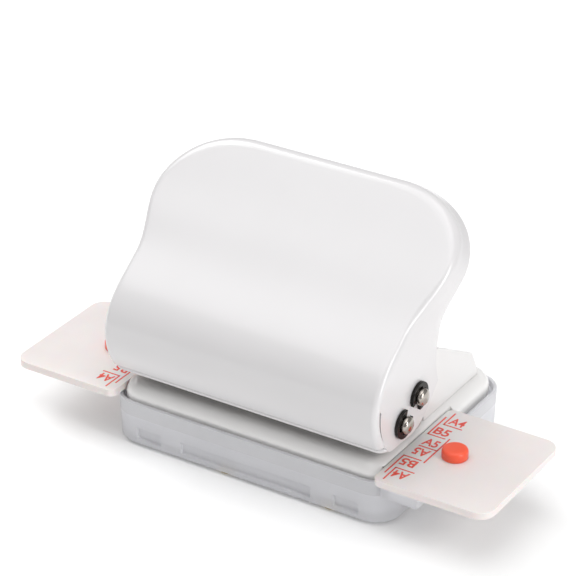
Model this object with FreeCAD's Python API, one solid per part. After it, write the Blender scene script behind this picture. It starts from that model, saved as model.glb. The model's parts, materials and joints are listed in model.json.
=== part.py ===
"""Compact multi-hole paper punch with a tall folded lever, two plug-in paper guides and a chip tray.

Everything is drawn about the punch row: X along the row, +Y away from the user, +Z up, with the
table at Z = 0.  save() then moves each shape back so that the origin lies on the table, under the
middle of the whole punch.
"""
import FreeCAD, Part
import math
import os

V = FreeCAD.Vector

# ---- overall levels above the table -------------------------------------------------------------
FOOT_HEIGHT = 0.6
TRAY_RIM_Z = 11.1
SKIRT_Z = 9.6
GUIDE_TOP_Z = 13.6
DECK_Z = 14.6

# ---- how far the whole punch reaches in front of and behind the punch row -----------------------
FRONT_REACH = 17.355
REAR_REACH = 37.3
ROW_OFFSET = (FRONT_REACH - REAR_REACH) / 2

# ---- punch row -----------------------------------------------------------------------------------
PUNCH_COUNT = 6
PUNCH_PITCH = 9.5
PUNCH_R = 3.0
RUNNING_GAP = 0.05
PAPER_GAP = 1.4

# ---- base cover and tray -------------------------------------------------------------------------
COVER_HALF_X = 33.5
COVER_FRONT_Y = -13.1
COVER_REAR_Y = 35.6
COVER_T = 1.2
COVER_ROLL_R = 3.0
COVER_CORNER_R = 5.0
TRAY_HALF_X = 35.3
TRAY_FRONT_Y = -14.4
TRAY_CORNER_R = 6.5
TRAY_DRAFT = 0.4
TRAY_WALL = 0.9
TRAY_LEDGE = 0.9
TRAY_EDGE_R = 0.8
TAB_REACH_X = 41.8

# ---- tray hinge, under the left-hand paper guide ------------------------------------------------
HINGE_X, HINGE_Z = -36.1, 10.5
HINGE_R = 1.1
HINGE_PIN_R = 0.55
HINGE_COVER_SPAN = (-3.85, 7.85)
HINGE_TRAY_SPANS = [(-8.0, -4.0), (8.0, 12.0)]

# ---- side plates, guide and die ------------------------------------------------------------------
EAR_OUT_X = 31.0
EAR_T = 1.4
THROAT_Y = 7.5
GUIDE_T = 2.7
DIE_T = 1.8

# ---- shafts and lever ----------------------------------------------------------------------------
SHAFT_R = 2.0
PIVOT_Y, PIVOT_Z = -6.7, GUIDE_TOP_Z + 8.6
PRESS_Y, PRESS_Z = -0.5, GUIDE_TOP_Z + 12.2
CLIP_T = 0.8
CLIP_R = 3.2
GROOVE_R = 1.45
LEVER_HALF_X = 33.8
LEVER_T = 1.0
LEVER_SWING = 32.0
HANDLE_HALF_X = 36.9
HANDLE_ANGLE = 42.0
HANDLE_REACH = 15.5
HANDLE_CORNER = (18.8, 15.5)
HANDLE_DEPTH = 5.2
HANDLE_SPLAY = 0.16

# ---- paper guides --------------------------------------------------------------------------------
WING_IN_X = 32.5
WING_OUT_X = 59.1
WING_HALF_Y = 16.3
WING_T = 1.6
PEG_X = 42.75
PEG_R = 2.8
PEG_HEIGHT = 2.2


def save(name, shape):
    shape = shape.copy()
    shape.translate(V(0, ROW_OFFSET, 0))
    shape.exportStep("parts/" + name + ".step")


def box(x0, x1, y0, y1, z0, z1):
    return Part.makeBox(x1 - x0, y1 - y0, z1 - z0, V(x0, y0, z0))


def rod_x(x0, x1, y, z, r):
    return Part.makeCylinder(r, x1 - x0, V(x0, y, z), V(1, 0, 0))


def rod_z(x, y, z0, z1, r):
    return Part.makeCylinder(r, z1 - z0, V(x, y, z0), V(0, 0, 1))


def is_upright(edge):
    first, last = edge.Vertexes[0].Point, edge.Vertexes[-1].Point
    return abs(first.x - last.x) < 1e-6 and abs(first.y - last.y) < 1e-6


def rod_y(x, y0, y1, z, r):
    return Part.makeCylinder(r, y1 - y0, V(x, y0, z), V(0, 1, 0))


def round_upright(shape, radius, wanted=lambda x, y: True):
    """Round the vertical edges of a box-like shape where wanted(x, y) holds."""
    picked = []
    for edge in shape.Edges:
        point = edge.Vertexes[0].Point
        if is_upright(edge) and wanted(point.x, point.y):
            picked.append(edge)
    return shape.makeFillet(radius, picked)


def round_level(shape, radius, z):
    """Round every edge that lies at height z."""
    picked = [e for e in shape.Edges if all(abs(v.Point.z - z) < 1e-6 for v in e.Vertexes)]
    return shape.makeFillet(radius, picked)


def side_prism(corners, x0, x1):
    """Solid between x0 and x1 whose side view is the closed polygon of (y, z) corners."""
    points = [V(x0, y, z) for y, z in corners]
    face = Part.Face(Part.makePolygon(points + points[:1]))
    return face.extrude(V(x1 - x0, 0, 0))


def punch_places():
    middle = (PUNCH_COUNT - 1) / 2
    return [(i - middle) * PUNCH_PITCH for i in range(PUNCH_COUNT)]


def mirrored(shape):
    return shape.mirror(V(0, 0, 0), V(1, 0, 0))


def both_sides(name, right_shape):
    save(name + "_right", right_shape)
    save(name + "_left", mirrored(right_shape))


def compound(shapes):
    return Part.makeCompound(shapes)


# ---- base ----------------------------------------------------------------------------------------

SIDE_FOOT_X = 20.0
SIDE_SCREWS = [(24.5, 14.0), (24.5, 26.0)]
DIE_SCREW_X = 28.7
STOP_Y = 6.5
STOP_HALF_X = 19.5
STOP_RIVET_X = 14.0
STOP_RIVET_Y = 11.0
SIDE_SCREW_R = 1.25
DIE_SCREW_R = 1.0
RIVET_R = 1.1


def cover_body(inset, z_low):
    """Rounded block of the cover, shrunk by inset on the sides and the top."""
    block = box(-COVER_HALF_X + inset, COVER_HALF_X - inset,
                COVER_FRONT_Y + inset, COVER_REAR_Y - inset, z_low, DECK_Z - inset)
    block = round_upright(block, COVER_CORNER_R - inset)
    return round_level(block, COVER_ROLL_R - inset, DECK_Z - inset)


def base_cover():
    cover = cover_body(0, SKIRT_Z).cut(cover_body(COVER_T, SKIRT_Z - 1))
    notch_y = WING_HALF_Y + 0.4
    for side in (-1, 1):
        x0, x1 = sorted((side * (WING_IN_X - 0.25), side * (COVER_HALF_X + 1)))
        cover = cover.cut(box(x0, x1, -notch_y, notch_y, GUIDE_TOP_Z - WING_T - 0.3, DECK_Z + 1))
        x0, x1 = sorted((side * (EAR_OUT_X - 1), side * (COVER_HALF_X + 1)))
        cover = cover.cut(box(x0, x1, -11, 11, GUIDE_TOP_Z - WING_T - 0.3, DECK_Z - COVER_T))
        for x, y in SIDE_SCREWS:
            cover = cover.cut(rod_z(side * x, y, SKIRT_Z, DECK_Z + 1, SIDE_SCREW_R))
        cover = cover.cut(rod_z(side * DIE_SCREW_X, 0, SKIRT_Z, DECK_Z + 1, DIE_SCREW_R))
        cover = cover.cut(rod_z(side * DIE_SCREW_X, 0, DECK_Z - 0.5, DECK_Z + 1, 1.85))
        cover = cover.cut(rod_z(side * STOP_RIVET_X, STOP_RIVET_Y, SKIRT_Z, DECK_Z + 1, RIVET_R))
    for x in punch_places():
        cover = cover.cut(rod_z(x, 0, SKIRT_Z, DECK_Z + 1, PUNCH_R + 0.4))
    y0, y1 = HINGE_COVER_SPAN
    arm = box(HINGE_X, COVER_T / 2 - COVER_HALF_X, y0, y1, SKIRT_Z, GUIDE_TOP_Z - WING_T - 0.9)
    knuckle = arm.fuse(rod_y(HINGE_X, y0, y1, HINGE_Z, HINGE_R)).cut(hinge_bore())
    return cover.fuse(knuckle).removeSplitter()


def hinge_bore():
    return rod_y(HINGE_X, -20, 20, HINGE_Z, HINGE_PIN_R + RUNNING_GAP)


def tray_hinge_pin():
    y0, y1 = HINGE_TRAY_SPANS[0][0], HINGE_TRAY_SPANS[-1][1]
    pin = rod_y(HINGE_X, y0 - 0.4, y1 + 0.4, HINGE_Z, HINGE_PIN_R)
    heads = rod_y(HINGE_X, y0 - 0.7, y0 - 0.1, HINGE_Z, HINGE_PIN_R + 0.25)
    heads = heads.fuse(rod_y(HINGE_X, y1 + 0.1, y1 + 0.7, HINGE_Z, HINGE_PIN_R + 0.25))
    return pin.fuse(heads).removeSplitter()


def die_plate():
    top = DECK_Z - COVER_T
    plate = box(-30, 30, -6, 6, top - DIE_T, top)
    for x in punch_places():
        plate = plate.cut(rod_z(x, 0, top - 5, top + 5, PUNCH_R + RUNNING_GAP))
    for side in (-1, 1):
        plate = plate.cut(rod_z(side * DIE_SCREW_X, 0, top - 5, top + 5, DIE_SCREW_R))
    return plate


def die_screw(x):
    shank = rod_z(x, 0, DECK_Z - COVER_T - DIE_T, DECK_Z - 0.4, DIE_SCREW_R)
    head = rod_z(x, 0, DECK_Z - 0.5, DECK_Z, 1.8)
    slot = box(x - 2, x + 2, -0.2, 0.2, DECK_Z - 0.25, DECK_Z + 1)
    return shank.fuse(head).cut(slot).removeSplitter()


def paper_stop():
    wall = box(-STOP_HALF_X, STOP_HALF_X, STOP_Y, STOP_Y + 1, DECK_Z, DECK_Z + 3)
    foot = box(-STOP_HALF_X, STOP_HALF_X, STOP_Y, 14, DECK_Z, DECK_Z + 1)
    stop = wall.fuse(foot).removeSplitter()
    for side in (-1, 1):
        stop = stop.cut(rod_z(side * STOP_RIVET_X, STOP_RIVET_Y, DECK_Z - 1, DECK_Z + 5, RIVET_R))
    return stop


def stop_rivet(x):
    shank = rod_z(x, STOP_RIVET_Y, DECK_Z - COVER_T, DECK_Z + 1.1, RIVET_R)
    top = rod_z(x, STOP_RIVET_Y, DECK_Z + 1, DECK_Z + 1.8, 1.9)
    low = rod_z(x, STOP_RIVET_Y, DECK_Z - COVER_T - 0.5, DECK_Z - COVER_T, 1.7)
    return shank.fuse(top).fuse(low).removeSplitter()


# ---- side plates and punch guide -----------------------------------------------------------------

GUIDE_FRONT_Y, GUIDE_REAR_Y = -4.6, 5.2
GUIDE_SCREW_Y = [-2.4, 3.0]
GUIDE_SCREW_R = 0.9
GUIDE_SCREW_IN_X = 27.4


def guide_low_z():
    return DECK_Z + PAPER_GAP


def press_arm():
    """Length and starting angle of the line from the pivot to the press shaft."""
    rise, run = PRESS_Z - PIVOT_Z, PRESS_Y - PIVOT_Y
    return math.hypot(run, rise), math.atan2(rise, run)


def stroke():
    """How far the press shaft drops over the lever's whole swing."""
    arm, start = press_arm()
    return arm * (math.sin(start) - math.sin(start - math.radians(LEVER_SWING)))


def ear_outline():
    """Side view of a side plate: sloping back, high front, open throat for the paper."""
    lift = GUIDE_TOP_Z
    slot_z = guide_low_z()
    return [(THROAT_Y, DECK_Z), (31.0, DECK_Z), (30.8, lift + 2.4), (28.2, lift + 7.5),
            (13.1, lift + 16.0), (-1.0, lift + 17.6), (-7.0, lift + 14.5), (-11.0, lift + 10.5),
            (-11.0, lift + 6.5), (-8.6, slot_z), (THROAT_Y, slot_z)]


def press_slot(x0, x1):
    """Curved window round the pivot that lets the press shaft swing down."""
    arm, start = press_arm()
    half = SHAFT_R + 0.2
    swing = math.radians(LEVER_SWING)
    outer = rod_x(x0, x1, PIVOT_Y, PIVOT_Z, arm + half)
    inner = rod_x(x0, x1, PIVOT_Y, PIVOT_Z, arm - half)
    wedge = [(PIVOT_Y, PIVOT_Z)]
    for angle in (start, start - swing / 2, start - swing):
        reach = 2 * arm
        wedge.append((PIVOT_Y + reach * math.cos(angle), PIVOT_Z + reach * math.sin(angle)))
    window = outer.cut(inner).common(side_prism(wedge, x0, x1))
    for angle in (start, start - swing):
        y = PIVOT_Y + arm * math.cos(angle)
        z = PIVOT_Z + arm * math.sin(angle)
        window = window.fuse(rod_x(x0, x1, y, z, half))
    return window


def side_plate():
    inner_x = EAR_OUT_X - EAR_T
    ear = side_prism(ear_outline(), inner_x, EAR_OUT_X)
    foot = box(SIDE_FOOT_X, EAR_OUT_X, 9, 30.5, DECK_Z, DECK_Z + EAR_T)
    plate = ear.fuse(foot).removeSplitter()
    plate = plate.cut(rod_x(inner_x - 1, EAR_OUT_X + 1, PIVOT_Y, PIVOT_Z, SHAFT_R + RUNNING_GAP))
    plate = plate.cut(press_slot(inner_x - 1, EAR_OUT_X + 1))
    for x, y in SIDE_SCREWS:
        plate = plate.cut(rod_z(x, y, DECK_Z - 1, DECK_Z + 3, SIDE_SCREW_R))
    for y in GUIDE_SCREW_Y:
        plate = plate.cut(rod_x(inner_x - 1, EAR_OUT_X + 1, y, guide_low_z() + GUIDE_T / 2, GUIDE_SCREW_R))
    return plate


def side_screw(x, y):
    shank = rod_z(x, y, DECK_Z - COVER_T - 0.8, DECK_Z + EAR_T + 0.1, SIDE_SCREW_R)
    head = rod_z(x, y, DECK_Z + EAR_T, DECK_Z + EAR_T + 1.3, 2.3)
    slot = box(x - 3, x + 3, y - 0.3, y + 0.3, DECK_Z + EAR_T + 0.7, DECK_Z + EAR_T + 2)
    return shank.fuse(head).removeSplitter().cut(slot)


def guide_plate():
    z = guide_low_z()
    half_x = EAR_OUT_X - EAR_T
    plate = box(-half_x, half_x, GUIDE_FRONT_Y, GUIDE_REAR_Y, z, z + GUIDE_T)
    for x in punch_places():
        plate = plate.cut(rod_z(x, 0, z - 1, z + 5, PUNCH_R + RUNNING_GAP))
    for side in (-1, 1):
        for y in GUIDE_SCREW_Y:
            x0, x1 = sorted((side * GUIDE_SCREW_IN_X, side * (half_x + 1)))
            plate = plate.cut(rod_x(x0, x1, y, z + GUIDE_T / 2, GUIDE_SCREW_R))
    return plate


def guide_screw(side, y):
    z = guide_low_z() + GUIDE_T / 2
    x0, x1 = sorted((side * GUIDE_SCREW_IN_X, side * (EAR_OUT_X + 0.1)))
    shank = rod_x(x0, x1, y, z, GUIDE_SCREW_R)
    x0, x1 = sorted((side * EAR_OUT_X, side * (EAR_OUT_X + 1.0)))
    head = rod_x(x0, x1, y, z, 1.9)
    return shank.fuse(head).removeSplitter()


# ---- shafts, clips, spacers and springs ----------------------------------------------------------

def shaft(y, z):
    """Shaft with a clip groove and a domed tip at each end, just outside the lever's flanges."""
    groove_in = LEVER_HALF_X + 0.1
    groove_out = groove_in + CLIP_T
    tip = groove_out + 1.4
    bar = rod_x(-tip, tip, y, z, SHAFT_R)
    bar = bar.makeFillet(0.7, [e for e in bar.Edges if abs(abs(e.CenterOfMass.x) - tip) < 0.01])
    for x0, x1 in ((groove_in, groove_out), (-groove_out, -groove_in)):
        ring = rod_x(x0, x1, y, z, SHAFT_R + 1).cut(rod_x(x0, x1, y, z, GROOVE_R))
        bar = bar.cut(ring)
    return bar


def clip(y, z, opening):
    """Right-hand retaining clip: an open ring with three inner lugs; opening is its mouth's angle."""
    x0 = LEVER_HALF_X + 0.15
    x1 = x0 + CLIP_T - 0.1
    ring = rod_x(x0, x1, y, z, CLIP_R).cut(rod_x(x0 - 1, x1 + 1, y, z, SHAFT_R + 0.15))
    mouth = [(y, z)]
    for turn in (-35, 0, 35):
        angle = math.radians(opening + turn)
        mouth.append((y + 6 * math.cos(angle), z + 6 * math.sin(angle)))
    ring = ring.cut(side_prism(mouth, x0 - 1, x1 + 1))
    for turn in (-55, 55, 180):
        angle = math.radians(opening + turn)
        ahead = V(0, math.cos(angle), math.sin(angle))
        across = V(0, -math.sin(angle), math.cos(angle))
        corners = []
        for reach, half in ((GROOVE_R + 0.05, -0.5), (2.6, -0.7), (2.6, 0.7), (GROOVE_R + 0.05, 0.5)):
            corners.append(V(x0, y, z) + ahead * reach + across * half)
        lug = Part.Face(Part.makePolygon(corners + corners[:1])).extrude(V(x1 - x0, 0, 0))
        ring = ring.fuse(lug)
    return ring.removeSplitter()


def pivot_spacer():
    x0, x1 = EAR_OUT_X + 0.05, LEVER_HALF_X - LEVER_T - 0.1
    ring = rod_x(x0, x1, PIVOT_Y, PIVOT_Z, 3.4)
    return ring.cut(rod_x(x0 - 1, x1 + 1, PIVOT_Y, PIVOT_Z, SHAFT_R + RUNNING_GAP))


SPRING_WIRE_R = 0.35
SPRING_COIL_R = 2.8
SPRING_TURNS = 5


def spring_leg(x, start, end):
    """Straight wire in the plane X = x, between two (y, z) points, with a rounded start."""
    first, last = V(x, *start), V(x, *end)
    wire = Part.makeCylinder(SPRING_WIRE_R, (last - first).Length, first, last - first)
    return wire.fuse(Part.makeSphere(SPRING_WIRE_R, first))


def touch_point(start):
    """End of a leg from start that just clears the press shaft's underside and passes it."""
    across, rise = PRESS_Y - start[0], PRESS_Z - start[1]
    reach = math.hypot(across, rise)
    clear = SHAFT_R + SPRING_WIRE_R + 0.05
    angle = math.atan2(rise, across) - math.asin(clear / reach)
    length = reach + 0.8
    return start[0] + length * math.cos(angle), start[1] + length * math.sin(angle)


def return_spring(x):
    """Torsion spring on the pivot: one leg on the punch guide, one under the press shaft."""
    pitch = 2 * SPRING_WIRE_R - 0.06
    coil = None
    for i in range(SPRING_TURNS):
        middle = V(x + (i - (SPRING_TURNS - 1) / 2) * pitch, PIVOT_Y, PIVOT_Z)
        turn = Part.makeTorus(SPRING_COIL_R, SPRING_WIRE_R, middle, V(1, 0, 0))
        coil = turn if coil is None else coil.fuse(turn)
    floor_z = guide_low_z() + GUIDE_T + SPRING_WIRE_R + 0.05
    low_x = x - (SPRING_TURNS - 1) / 2 * pitch
    coil = coil.fuse(spring_leg(low_x, (PIVOT_Y, PIVOT_Z - SPRING_COIL_R), (-4.3, floor_z)))
    start = (PIVOT_Y, PIVOT_Z + SPRING_COIL_R)
    return coil.fuse(spring_leg(x, start, touch_point(start)))


# ---- punches -------------------------------------------------------------------------------------

HEAD_R = 4.2
HEAD_TOP_Z = PRESS_Z + 2.9


def punch_pin(x):
    """Hollow-ended punch with a wide head; the press shaft runs through the head's long slot."""
    tip_z = guide_low_z() + 0.2
    head_z = guide_low_z() + GUIDE_T + stroke() + 0.2
    pin = rod_z(x, 0, tip_z, head_z + 1, PUNCH_R)
    pin = pin.cut(Part.makeCone(PUNCH_R - 0.3, 0, 2.2, V(x, 0, tip_z - 0.01), V(0, 0, 1)))
    head = rod_z(x, 0, head_z, HEAD_TOP_Z, HEAD_R)
    pin = pin.fuse(head).removeSplitter()
    half_height = SHAFT_R + 0.15
    side = 0.5
    slot = box(x - 6, x + 6, -side, side, PRESS_Z - half_height, PRESS_Z + half_height)
    for y in (-side, side):
        slot = slot.fuse(rod_x(x - 6, x + 6, y, PRESS_Z, half_height))
    return pin.cut(slot)


# ---- lever ---------------------------------------------------------------------------------------

HANDLE_FOOT = (7.5, GUIDE_TOP_Z + 39.9)


def along_handle(reach, depth=0.0):
    """(y, z) of a point reach mm up the handle's front face and depth mm behind it."""
    angle = math.radians(HANDLE_ANGLE)
    y = HANDLE_FOOT[0] + reach * math.cos(angle) + depth * math.sin(angle)
    z = HANDLE_FOOT[1] + reach * math.sin(angle) - depth * math.cos(angle)
    return y, z


def lever_front():
    """Front face of the lever from its lower edge, over the belly, to the foot of the handle."""
    heights = [(-14.0, 4.9), (-16.3, 9.0), (-17.35, 14.0), (-16.4, 18.7), (-13.4, 22.9),
               (-8.9, 26.5), (-3.3, 30.6), (2.0, 35.2)]
    return [(y, z + GUIDE_TOP_Z) for y, z in heights] + [HANDLE_FOOT]


def lever_back():
    """Rear edge of the flanges from the foot of the handle down to the table side."""
    heights = [(7.9, 31.0), (7.0, 27.0), (6.8, 23.0), (6.9, 19.0), (7.2, 15.5), (8.2, 11.6)]
    return [along_handle(-3, HANDLE_DEPTH)] + [(y, z + GUIDE_TOP_Z) for y, z in heights]


def lever_underside():
    heights = [(8.2, 11.6), (4.6, 7.6), (0.9, 4.8), (-1.7, 4.0), (-4.3, 3.9), (-7.4, 4.1),
               (-12.0, 4.5), (-14.0, 4.9)]
    return [(y, z + GUIDE_TOP_Z) for y, z in heights]


def shifted(points, depth):
    """Points moved sideways by depth, to the right-hand side of the way they run."""
    moved = []
    for i, (y, z) in enumerate(points):
        y0, z0 = points[max(i - 1, 0)]
        y1, z1 = points[min(i + 1, len(points) - 1)]
        length = math.hypot(y1 - y0, z1 - z0)
        moved.append((y + depth * (z1 - z0) / length, z - depth * (y1 - y0) / length))
    return moved


def curve(points, x):
    spline = Part.BSplineCurve()
    spline.interpolate([V(x, y, z) for y, z in points])
    return spline.toShape()


def front_curve(points, x):
    """Smooth curve through the points that runs straight into the handle's flat front."""
    angle = math.radians(HANDLE_ANGLE)
    spline = Part.BSplineCurve()
    spline.interpolate(Points=[V(x, y, z) for y, z in points],
                       InitialTangent=V(0, -0.5, 0.87),
                       FinalTangent=V(0, math.cos(angle), math.sin(angle)))
    return spline.toShape()


def line(first, last, x):
    return Part.makeLine(V(x, *first), V(x, *last))


def lever_block():
    """Solid between the lever's front face and the rear edge of its flanges."""
    x = -HANDLE_HALF_X - 1
    top_front, top_back = along_handle(HANDLE_REACH), along_handle(HANDLE_REACH, HANDLE_DEPTH)
    back = lever_back()
    edges = [front_curve(lever_front(), x), line(HANDLE_FOOT, top_front, x),
             line(top_front, top_back, x), line(top_back, back[0], x),
             curve(back, x), curve(lever_underside(), x)]
    return Part.Face(Part.Wire(edges)).extrude(V(-2 * x, 0, 0))


def lever_hollow():
    """Space behind the lever's front sheet, open to the back and the bottom."""
    x = -HANDLE_HALF_X - 1
    front = shifted(lever_front(), LEVER_T)
    front[-1] = along_handle(0, LEVER_T)
    bottom = (front[0][0] + 2, front[0][1] - 4)
    top = along_handle(HANDLE_REACH + 5, LEVER_T)
    far_top, far_low = (70, top[1] + 5), (70, bottom[1])
    edges = [line(bottom, front[0], x), front_curve(front, x), line(front[-1], top, x),
             line(top, far_top, x), line(far_top, far_low, x), line(far_low, bottom, x)]
    return Part.Face(Part.Wire(edges)).extrude(V(-2 * x, 0, 0))


def outline_wire(inset, depth):
    """Lever seen square on to the handle, at depth mm behind its front face."""
    angle = math.radians(HANDLE_ANGLE)
    up = V(0, math.cos(angle), math.sin(angle))
    back = V(0, math.sin(angle), -math.cos(angle))
    start = V(0, *HANDLE_FOOT) + back * depth
    grow = HANDLE_SPLAY * depth - inset
    across, along = HANDLE_CORNER[0] + grow, HANDLE_CORNER[1] + grow
    corner_s = HANDLE_REACH - HANDLE_CORNER[1]
    centre_x = HANDLE_HALF_X - HANDLE_CORNER[0]
    low = LEVER_HALF_X - inset

    def at(x, s):
        return start + V(x, 0, 0) + up * s

    edges = []
    for side in (1, -1):
        flare = Part.BSplineCurve()
        waist, shoulder = at(side * low, -20), at(side * (centre_x + across), corner_s)
        points = [waist, at(side * (low + (0.9 + HANDLE_SPLAY * depth * 0.3)), -11), shoulder]
        flare.interpolate(Points=points, InitialTangent=up, FinalTangent=up)
        middle = at(side * centre_x, corner_s)
        bend = quarter_ellipse(middle, V(side * across, 0, 0), up * along)
        edges += [Part.makeLine(at(side * low, -70), waist), flare.toShape(), bend]
    edges.append(Part.makeLine(at(centre_x, corner_s + along), at(-centre_x, corner_s + along)))
    edges.append(Part.makeLine(at(low, -70), at(-low, -70)))
    return Part.Wire(Part.__sortEdges__(edges))


def quarter_ellipse(centre, first, second):
    """Quarter of an ellipse from centre + first to centre + second, the first being the longer."""
    ellipse = Part.Ellipse(centre + first, centre + second, centre)
    return Part.ArcOfEllipse(ellipse, 0, math.pi / 2).toShape()


def lever_outline(inset):
    """Block across the lever: straight sides, a flare and a large-cornered end, opening backwards."""
    return Part.makeLoft([outline_wire(inset, -12), outline_wire(inset, 52)], True, True)


def corner_slits():
    """Narrow gap at each lower corner, where the front sheet parts from the flange."""
    heights = [(-12.5, 4.9), (-14.8, 9.6), (-15.75, 12.6), (-16.2, 12.6), (-15.3, 9.4), (-13.1, 4.0)]
    corners = [(y, z + GUIDE_TOP_Z) for y, z in heights]
    inner_x = LEVER_HALF_X - LEVER_T - 0.1
    slit = side_prism(corners, inner_x, LEVER_HALF_X + 1)
    return slit.fuse(mirrored(slit))


def lever_shell():
    outer = lever_block().common(lever_outline(0))
    inner = lever_hollow().common(lever_outline(LEVER_T))
    shell = outer.cut(inner).cut(corner_slits())
    for y, z in ((PIVOT_Y, PIVOT_Z), (PRESS_Y, PRESS_Z)):
        shell = shell.cut(rod_x(-60, 60, y, z, SHAFT_R + RUNNING_GAP))
    return shell


# ---- chip tray -----------------------------------------------------------------------------------

FOOT_PLACES = [(-6.0, -10.9), (20.0, -10.9), (-20.0, 33.8), (6.0, 33.8)]
FOOT_R = 2.2
WINDOW_SPANS = [(-28.0, -21.7), (-16.5, 16.3), (21.9, 28.0)]


def tray_outline(inset, z):
    """Rounded rectangle of the tray's plan at height z, closed as one wire."""
    x1, y0, y1 = TRAY_HALF_X - inset, TRAY_FRONT_Y + inset, REAR_REACH - inset
    r = TRAY_CORNER_R - inset
    q = r * (1 - math.sqrt(0.5))
    edges = []
    for sx, sy, cy in ((1, -1, y0), (1, 1, y1), (-1, 1, y1), (-1, -1, y0)):
        side_point = V(sx * x1, cy - sy * r, z)
        end_point = V(sx * (x1 - r), cy, z)
        middle = V(sx * (x1 - q), cy - sy * q, z)
        edges.append(Part.Arc(side_point, middle, end_point).toShape())
    for sx in (1, -1):
        edges.append(Part.makeLine(V(sx * x1, y0 + r, z), V(sx * x1, y1 - r, z)))
    for y in (y0, y1):
        edges.append(Part.makeLine(V(r - x1, y, z), V(x1 - r, y, z)))
    return Part.Wire(Part.__sortEdges__(edges))


def tray_block(inset, z0, z1):
    """Drafted block, narrower at the bottom."""
    def draft(z):
        return inset + TRAY_DRAFT * (TRAY_RIM_Z - z) / (TRAY_RIM_Z - FOOT_HEIGHT)
    return Part.makeLoft([tray_outline(draft(z0), z0), tray_outline(draft(z1), z1)], True)


def tray_window(x0, x1):
    """Shallow pocket in the outside of the tray's front wall."""
    y = TRAY_FRONT_Y + TRAY_DRAFT
    return box(x0, x1, y - 3, y + 0.35, FOOT_HEIGHT + 1.3, FOOT_HEIGHT + 4.3)


def finger_tab():
    z_top = TRAY_RIM_Z
    y0, y1 = TRAY_FRONT_Y + 0.6, 20.0
    tab = box(TRAY_HALF_X - 4, TAB_REACH_X, y0, y1, z_top - 3.3, z_top)
    tab = round_upright(tab, 0.6, lambda x, y: x > TRAY_HALF_X)
    hollow = box(TRAY_HALF_X - 5, TAB_REACH_X - 1.2, y0 + 1.2, y1 - 1.2, z_top - 5, z_top - 1.4)
    return tab.cut(hollow)


def chip_tray():
    ledge_z = SKIRT_Z - 0.1
    body = tray_block(0, FOOT_HEIGHT, TRAY_RIM_Z)
    body = round_level(body, TRAY_EDGE_R, FOOT_HEIGHT)
    body = body.fuse(finger_tab()).removeSplitter()
    body = body.cut(tray_block(TRAY_WALL, ledge_z, TRAY_RIM_Z + 0.5))
    body = body.cut(tray_block(TRAY_WALL + TRAY_LEDGE, FOOT_HEIGHT + 1.4, ledge_z + 0.2))
    for x0, x1 in WINDOW_SPANS:
        body = body.cut(tray_window(x0, x1))
    y0, y1 = HINGE_COVER_SPAN
    wall = (-TRAY_HALF_X - 0.5, -TRAY_HALF_X + TRAY_WALL + 0.5)
    body = body.cut(box(*wall, y0 - 0.15, y1 + 0.15, SKIRT_Z - 0.4, TRAY_RIM_Z + 1))
    for y0, y1 in HINGE_TRAY_SPANS:
        web = box(HINGE_X, -TRAY_HALF_X + TRAY_WALL / 2, y0, y1, HINGE_Z - HINGE_R, HINGE_Z)
        body = body.fuse(web).fuse(rod_y(HINGE_X, y0, y1, HINGE_Z, HINGE_R))
    body = body.removeSplitter().cut(hinge_bore())
    for x, y in FOOT_PLACES:
        body = body.cut(rod_z(x, y, FOOT_HEIGHT - 1, FOOT_HEIGHT + 0.5, FOOT_R + 0.1))
    return body


def foot(x, y):
    pad = rod_z(x, y, 0, FOOT_HEIGHT + 0.5, FOOT_R)
    return pad.makeFillet(0.2, [e for e in pad.Edges if abs(e.CenterOfMass.z) < 0.01])


# ---- paper guides --------------------------------------------------------------------------------

def guide_wing():
    """Flat paper guide for the right side, with two prongs that plug in under the deck."""
    low = GUIDE_TOP_Z - WING_T
    wing = box(WING_IN_X, WING_OUT_X, -WING_HALF_Y, WING_HALF_Y, low, GUIDE_TOP_Z)
    wing = round_upright(wing, 3.5, lambda x, y: x > WING_IN_X + 1)
    wing = round_upright(wing, 1.6, lambda x, y: x < WING_IN_X + 1)
    for y0, y1 in ((-10.6, -6.4), (6.4, 10.6)):
        wing = wing.fuse(box(27.0, WING_IN_X + 0.5, y0, y1, low, low + 1.1))
    wing = wing.removeSplitter()
    return wing.cut(rod_z(PEG_X, 0, low - 1, GUIDE_TOP_Z + 1, 1.8))


def peg():
    low = GUIDE_TOP_Z - WING_T
    head = rod_z(PEG_X, 0, GUIDE_TOP_Z, GUIDE_TOP_Z + PEG_HEIGHT, PEG_R)
    head = round_level(head, 0.3, GUIDE_TOP_Z + PEG_HEIGHT)
    return head.fuse(rod_z(PEG_X, 0, low, GUIDE_TOP_Z + 0.1, 1.78)).removeSplitter()


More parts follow.
